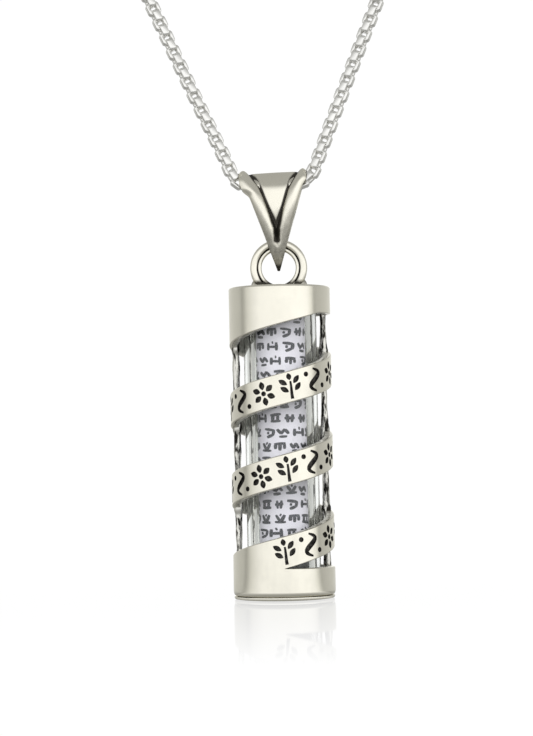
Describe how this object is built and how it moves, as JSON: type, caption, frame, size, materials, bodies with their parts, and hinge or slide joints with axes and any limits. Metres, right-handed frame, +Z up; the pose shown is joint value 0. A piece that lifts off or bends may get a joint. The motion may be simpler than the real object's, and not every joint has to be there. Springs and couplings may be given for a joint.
{
  "type": "mezuzah pendant",
  "caption": "Small silver mezuzah case worn as a pendant: a cylinder with a helical window over a scroll in a glass tube, hung by a tapered bail on a box chain with a clasp.",
  "frame": {"origin": "on the line of the case, level with the two places where the neck or a display hook holds the ends of the chain", "axes": "+Z up along the case towards the chain, -Y to the front of the pendant, +X to the wearer's left"},
  "size_m": [0.0348, 0.01, 0.0748],
  "materials": {
    "silver": "polished silver, oxidised black in its recesses",
    "chain_silver": "bright polished silver",
    "spring_steel": "plain spring steel",
    "glass": "clear glass",
    "paper": "matt parchment with rows of ink strokes",
    "seal": "translucent silicone"
  },
  "bodies": {
    "chain": {"box_chain": "chain_silver", "clasp_end_cap": "chain_silver", "ring_end_cap": "chain_silver", "clasp_jump_ring": "chain_silver", "catch_ring": "chain_silver", "clasp_body": "chain_silver", "clasp_pin": "chain_silver", "clasp_spring": "spring_steel"},
    "gate": {"clasp_lever": "chain_silver"},
    "bail": {"bail": "silver"},
    "case": {"spiral_case": "silver", "bottom_plug": "silver", "hanger_loop": "silver", "glass_tube": "glass", "scroll": "paper", "lower_seal": "seal", "upper_seal": "seal"}
  },
  "joints": [
    {"name": "bail_rock", "type": "hinge", "parent": "chain", "child": "bail", "pos_m": [-0.00033, 0, -0.02132], "axis": [1, 0, 0], "range_deg": [-70, 70]},
    {"name": "case_swing", "type": "hinge", "parent": "bail", "child": "case", "pos_m": [0, 0, -0.02958], "axis": [0, 1, 0], "range_deg": [-60, 60]},
    {"name": "clasp_gate", "type": "hinge", "parent": "chain", "child": "gate", "pos_m": [-0.01574, 0, 0.0074], "axis": [0, -1, 0], "range_deg": [0, 25], "stiffness_Nm_per_rad": 0.003, "springref_deg": -11.46, "deforming": ["clasp_spring"]}
  ]
}
